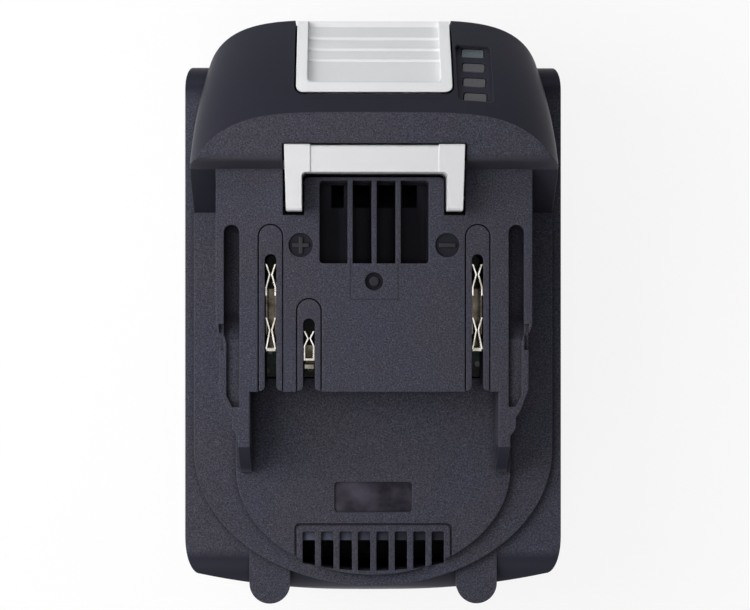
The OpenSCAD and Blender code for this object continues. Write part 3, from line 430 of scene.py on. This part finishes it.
def white_plastic(name):
    """White moulded plastic with a faint flow pattern; the button's rim and panel are painted lighter than the
    hook as painted light, and the sunk panel darker than the rim as painted shade.
    """
    flow_size, grain_size, grain_depth, edge_radius = 6 * MM, 0.3 * MM, 0.02 * MM, 0.22 * MM
    panel_half, panel_length, panel_soft = 12.7 * MM, 13.3 * MM, 0.1 * MM
    rim_length, rim_fade = 17 * MM, 1 * MM
    polished, matt = 0.34, 0.42
    # Tones of the hook, of the button's rim painted lighter as painted light, and of its sunk panel, darker than
    # the rim as painted shade
    body_shades = (0.66, 0.655, 0.665), (0.70, 0.70, 0.71)
    rim_shades = (0.84, 0.84, 0.845), (0.88, 0.88, 0.885)
    panel_shades = (0.71, 0.715, 0.725), (0.76, 0.765, 0.775)
    s = Shader(name)
    flow = s.noise(flow_size, detail=3, stretch=(0.4, 1, 1))
    grain = s.noise(grain_size)
    x, y, _ = s.axes()
    up = s.facing()[2]
    rim = s.past(y, front - rim_length, rim_fade)
    sloped = s.all_of(s.span(up, 0.2, 0.4), s.span(up, 0.9, 0.95, 1, 0))
    panel = s.all_of(s.between(x, -panel_half, panel_half), s.past(y, front - panel_length, panel_soft), sloped)
    s.give("Subsurface Weight", 0.12)
    s.give("Subsurface Radius", (1.0, 1.0, 0.9))
    s.give("Subsurface Scale", 0.6 * MM)
    body_color, rim_color, panel_color = [s.blend(flow, tone(dark), tone(light))
                                          for dark, light in (body_shades, rim_shades, panel_shades)]
    color = s.blend(panel, s.blend(rim, body_color, rim_color), panel_color)
    return s.finish(color, s.spread(grain, polished, matt),
                    s.bump(grain, grain_depth, strength=0.25, over=s.rounded(edge_radius)))


def bright_metal(name, light, dark, low_rough, high_rough, streak=None, darken_below=None):
    """Rolled or plated metal with streaks and slightly uneven polish, darker and browner below a height."""
    streak_size, spot_size, streak_depth, edge_radius = 2.2 * MM, 3.5 * MM, 0.01 * MM, 0.08 * MM
    darken_below_fade, darken_below_share, spot_share = 1.2 * MM, 0.92, 0.4
    deep_dark, deep_brown = (0.025, 0.02, 0.015), (0.11, 0.088, 0.06)
    s = Shader(name)
    streaks = s.noise(streak_size, detail=3, stretch=streak)
    spots = s.noise(spot_size)
    s.give("Metallic", 1.0)
    color = s.blend(s.spread(streaks), tone(dark), tone(light))
    color = s.blend(s.span(spots, 0.5, 0.75, 0, spot_share), color, tone(dark, 0.9))
    # Darker and browner below a height
    if darken_below:
        deep = s.span(s.axes()[2], darken_below - darken_below_fade, darken_below, darken_below_share, 0)
        color = s.blend(deep, color, s.blend(streaks, tone(deep_dark), tone(deep_brown)))
    return s.finish(color, s.spread(streaks, high_rough, low_rough),
                    s.bump(streaks, streak_depth, strength=0.2, over=s.rounded(edge_radius)))


def fine_plastic(name, color, roughness, grain_size=0.4 * MM, coat=0.0):
    """Plain moulded or coated piece with a soft mottle and a fine grain."""
    mottle_size, mottle_share, grain_depth, edge_radius = 5 * MM, 0.5, 0.02 * MM, 0.15 * MM
    rougher, smoother = 0.06, 0.04
    s = Shader(name)
    grain = s.noise(grain_size)
    mottle = s.noise(mottle_size)
    s.give("Coat Weight", coat)
    s.give("Coat Roughness", 0.12)
    mixed = s.blend(s.spread(grain), tone(color, 0.86), tone(color, 1.14))
    mixed = s.blend(s.span(mottle, 0.35, 0.7, 0, mottle_share), mixed, tone(color, 0.88))
    return s.finish(mixed, s.spread(grain, roughness + rougher, roughness - smoother),
                    s.bump(grain, grain_depth, strength=0.25, over=s.rounded(edge_radius)))


def circuit_board(name):
    """Green solder resist with copper tracks showing through as paler lines, and tinned pads."""
    weave_size, track_size, pad_size, track_depth = 0.5 * MM, 4 * MM, 2.4 * MM, 0.03 * MM
    track_width, track_share, matt, polished = 0.06, 0.6, 0.46, 0.36
    dark_resist, light_resist = (0.002, 0.016, 0.009), (0.004, 0.024, 0.013)
    copper, tin = (0.01, 0.05, 0.026), (0.30, 0.33, 0.30)
    s = Shader(name)
    weave = s.noise(weave_size, detail=1)
    bricks = s.node("ShaderNodeTexBrick")
    s.links.new(s.place, bricks.inputs["Vector"])
    bricks.inputs["Scale"].default_value = 1 / track_size
    bricks.inputs["Mortar Size"].default_value = track_width
    tracks = bricks.outputs["Fac"]
    pads = s.span(s.cells(pad_size), 0.20, 0.26, 1, 0)
    board = s.blend(weave, tone(dark_resist), tone(light_resist))
    color = s.blend(s.math("MULTIPLY", tracks, track_share), board, tone(copper))
    color = s.blend(pads, color, tone(tin))
    return s.finish(color, s.spread(weave, matt, polished), s.bump(tracks, track_depth, strength=0.4))


def slot_finishes():
    """The material of each slot, by the slot's name."""
    darken_below_depth, paper_grain = 1.9 * MM, 0.8 * MM
    return {
        "case_black": case_plastic("case_plastic"),
        "latch_white": white_plastic("white_plastic"),
        "button_grey": fine_plastic("button_plastic", (0.084, 0.108, 0.118), 0.38),
        "window_smoke": fine_plastic("window_plastic", (0.057, 0.056, 0.063), 0.34),
        "board_green": circuit_board("circuit_board"),
        "component_black": fine_plastic("component_plastic", (0.020, 0.020, 0.023), 0.5),
        "led_clear": fine_plastic("led_lens", (0.62, 0.64, 0.52), 0.2, coat=0.5),
        "clip_nickel": bright_metal("nickel_clip", (0.93, 0.91, 0.86), (0.62, 0.56, 0.47), 0.20, 0.32,
                                    streak=(1, 1, 0.2), darken_below=plat_z - darken_below_depth),
        "strip_nickel": bright_metal("nickel_strip", (0.66, 0.65, 0.61), (0.50, 0.49, 0.46), 0.28, 0.40,
                                     streak=(1, 1, 0.1)),
        "cell_wrap": fine_plastic("cell_sleeve", (0.012, 0.014, 0.017), 0.45),
        "holder_grey": fine_plastic("holder_plastic", (0.03, 0.03, 0.035), 0.6),
        "insulating_paper": fine_plastic("insulating_paper", (0.56, 0.51, 0.37), 0.75, grain_size=paper_grain),
        "spring_steel": bright_metal("spring_steel", (0.60, 0.61, 0.63), (0.40, 0.41, 0.43), 0.22, 0.34),
        "screw_steel": bright_metal("screw_steel", (0.42, 0.42, 0.44), (0.26, 0.26, 0.28), 0.25, 0.40),
    }


def dress_nodes():
    """Give every CAD node its material and smooth shading on its curves."""
    marked = case_plastic("case_plastic_marked", marked=True)
    finishes = slot_finishes()
    group = smooth_group()
    for entry in frame["record"]["subparts"]:
        node = frame["nodes"][entry["node"]]
        finish = marked if entry["node"] == "upper_case" else finishes[entry["material_slot"]]
        node.data.materials.clear()
        node.data.materials.append(finish)
        smooth(node, group)
        if entry["node"] == "latch_spring":
            sprung_coil(node, finish, group)


def smooth_group():
    """Node group that welds a mesh and shades it smooth, except at its creases."""
    group = bpy.data.node_groups.new("smooth_by_angle", "GeometryNodeTree")
    for way in ("INPUT", "OUTPUT"):
        group.interface.new_socket("Geometry", in_out=way, socket_type="NodeSocketGeometry")
    nodes, links = group.nodes, group.links
    plain = nodes.new("GeometryNodeRemoveAttribute")
    plain.inputs["Name"].default_value = "custom_normal"
    weld = nodes.new("GeometryNodeMergeByDistance")
    weld.inputs["Distance"].default_value = WELD
    faces = nodes.new("GeometryNodeSetShadeSmooth")
    edges = nodes.new("GeometryNodeSetShadeSmooth")
    edges.domain = "EDGE"
    edges.inputs["Shade Smooth"].default_value = False
    bend = nodes.new("GeometryNodeInputMeshEdgeAngle")
    sharp = nodes.new("FunctionNodeCompare")
    sharp.operation = "GREATER_THAN"
    sharp.inputs["B"].default_value = CREASE
    links.new(bend.outputs["Unsigned Angle"], sharp.inputs["A"])
    links.new(sharp.outputs["Result"], edges.inputs["Selection"])
    chain = [nodes.new("NodeGroupInput"), plain, weld, faces, edges, nodes.new("NodeGroupOutput")]
    for first, second in zip(chain, chain[1:]):
        links.new(first.outputs["Geometry"], second.inputs["Geometry"])
    return group


def smooth(piece, group):
    piece.modifiers.new("smooth", "NODES").node_group = group
    weights = piece.modifiers.new("weighted", "WEIGHTED_NORMAL")
    weights.keep_sharp = True
    weights.weight = 100


# Pieces added to the model

def add_object(name, data):
    item = bpy.data.objects.new(name, data)
    bpy.context.scene.collection.objects.link(item)
    return item


def new_piece(name, mesh, material):
    piece = add_object(name, mesh)
    piece.data.materials.append(material)
    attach(piece, BODY)
    return piece


def sprung_coil(node, material, group):
    """Latch spring as a piece of its own on the pack, in place of the rigid one."""
    mesh = node.data.copy()
    mesh.materials.clear()
    coil = new_piece("latch_coil", mesh, material)
    smooth(coil, group)
    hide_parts("latch_spring")
    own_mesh(coil)


def sign_outline(cross):
    """Corners of a plus when it is a cross, or else of a minus."""
    long, wide = SIGN_LENGTH / 2, SIGN_WIDTH / 2
    if not cross:
        return [(-long, -wide), (long, -wide), (long, wide), (-long, wide)]
    return [(-long, -wide), (-wide, -wide), (-wide, -long), (wide, -long), (wide, -wide), (long, -wide),
            (long, wide), (wide, wide), (wide, long), (-wide, long), (-wide, wide), (-long, wide)]


def raised_sign(name, corners, middle_x):
    """Flat raised sign with a chamfer round the top, on the floor of its disc."""
    bm = bmesh.new()
    bm.faces.new([bm.verts.new((middle_x + x, sign_y + y, sign_floor)) for x, y in corners])
    top = bmesh.ops.extrude_face_region(bm, geom=list(bm.faces))
    moved = [item for item in top["geom"] if isinstance(item, bmesh.types.BMVert)]
    bmesh.ops.translate(bm, verts=moved, vec=(0, 0, SIGN_HEIGHT))
    bmesh.ops.recalc_face_normals(bm, faces=list(bm.faces))
    rim = [edge for edge in bm.edges if all(v in moved for v in edge.verts)]
    bmesh.ops.bevel(bm, geom=rim, offset=SIGN_CHAMFER, segments=2, profile=0.5, affect="EDGES")
    mesh = bpy.data.meshes.new(name)
    bm.to_mesh(mesh)
    bm.free()
    return mesh


def polarity_signs():
    """Plus and minus, moulded in their sunk discs beside the contacts."""
    material = fine_plastic("sign_plastic", tone(SATIN, 0.4), 0.6)
    for name, side, cross in (("polarity_plus", -1, True), ("polarity_minus", 1, False)):
        mesh = raised_sign(name, sign_outline(cross), side * sign_x)
        new_piece(name, mesh, material)


# Stage

# Name, place and size in metres, and power in watts
LAMPS = (
    ("key", (-0.20, 0.04, 0.25), (0.18, 0.26), 0.72),
    ("top_fill", (0.0, 0.0, 0.95), (0.30, 0.30), 0.40),
    ("right_fill", (0.60, 0.05, 0.85), (0.35, 0.50), 0.12),
    ("side_fill", (0.90, -0.10, 0.12), (0.30, 0.20), 1.3),
    ("front_fill", (-0.10, 0.85, 0.60), (0.70, 0.30), 2.0),
    ("rear_fill", (-0.20, -0.80, 0.65), (0.60, 0.30), 3.0),
)


def floor():
    """Pale floor that looks white to the camera and keeps a soft shadow."""
    half, pale, glow_share = 2.5, (0.92, 0.92, 0.92), 0.86
    mesh = bpy.data.meshes.new("floor")
    mesh.from_pydata([(-half, -half, 0), (half, -half, 0), (half, half, 0), (-half, half, 0)], [], [(0, 1, 2, 3)])
    piece = add_object("floor", mesh)
    s = Shader("floor_white")
    s.give("Base Color", tone(pale))
    s.give("Roughness", 0.9)
    rays = s.node("ShaderNodeLightPath").outputs
    seen = s.any_of(rays["Is Camera Ray"], rays["Is Glossy Ray"], rays["Is Transmission Ray"])
    mix = s.node("ShaderNodeMixShader")
    s.join(s.math("MULTIPLY", seen, glow_share), mix.inputs["Fac"])
    s.links.new(s.surface.outputs["BSDF"], mix.inputs[1])
    s.links.new(s.node("ShaderNodeEmission").outputs["Emission"], mix.inputs[2])
    s.links.new(mix.outputs["Shader"], s.nodes["Material Output"].inputs["Surface"])
    piece.data.materials.append(s.material)


def area_light(name, place, size, power):
    """Rectangular lamp, out of the camera's sight, that looks at the middle of the platform."""
    data = bpy.data.lights.new(name, "AREA")
    data.shape = "RECTANGLE"
    data.size, data.size_y = size
    data.energy = power
    lamp = add_object(name, data)
    lamp.location = place
    lamp.visible_camera = False
    aim = add_object(name + "_aim", None)
    aim.location = (0, 0, plat_z)
    track = lamp.constraints.new("TRACK_TO")
    track.target = aim
    track.track_axis = "TRACK_NEGATIVE_Z"
    track.up_axis = "UP_Y"


def sky(world):
    """Pale surroundings, dimmer overhead and on the right, so that flat glossy faces don't wash out."""
    low, high, horizon, zenith = 0.35, 0.95, 0.32, 0.10
    left, right = 1.65, 0.25
    daylight = (0.93, 0.95, 1.0)
    tree = Nodes(world.node_tree)
    x, _, z = tree.split(tree.node("ShaderNodeTexCoord").outputs["Generated"])
    rise = tree.span(z, low, high, horizon, zenith, interpolation_type="SMOOTHSTEP")
    side = tree.span(x, -1, 1, left, right)
    back = tree.nodes["Background"]
    back.inputs["Color"].default_value = tone(daylight)
    tree.join(tree.math("MULTIPLY", rise, side), back.inputs["Strength"])


def studio():
    """Soft key light high on the left, with weak ones from above and round about."""
    world = bpy.data.worlds.new("studio")
    bpy.context.scene.world = world
    world.use_nodes = True
    sky(world)
    for lamp in LAMPS:
        area_light(*lamp)


def camera():
    """Almost straight down on the pack, its front towards the top of the picture."""
    image_px, focal_px, sensor = 750, 2329, 36
    aim_x, aim_y, lean, height = 0.15 * MM, 1.325 * MM, 6 * MM, 500 * MM
    data = bpy.data.cameras.new("camera")
    data.sensor_width = sensor
    data.lens = focal_px * sensor / image_px
    data.clip_start = 10 * MM
    eye = add_object("camera", data)
    eye.location = (aim_x - lean, aim_y, height)
    eye.rotation_euler = (0, -math.atan2(lean, height - plat_z), 0)
    bpy.context.scene.camera = eye


dress_nodes()
polarity_signs()
floor()
studio()
camera()
bpy.context.scene.view_settings.view_transform = "Standard"
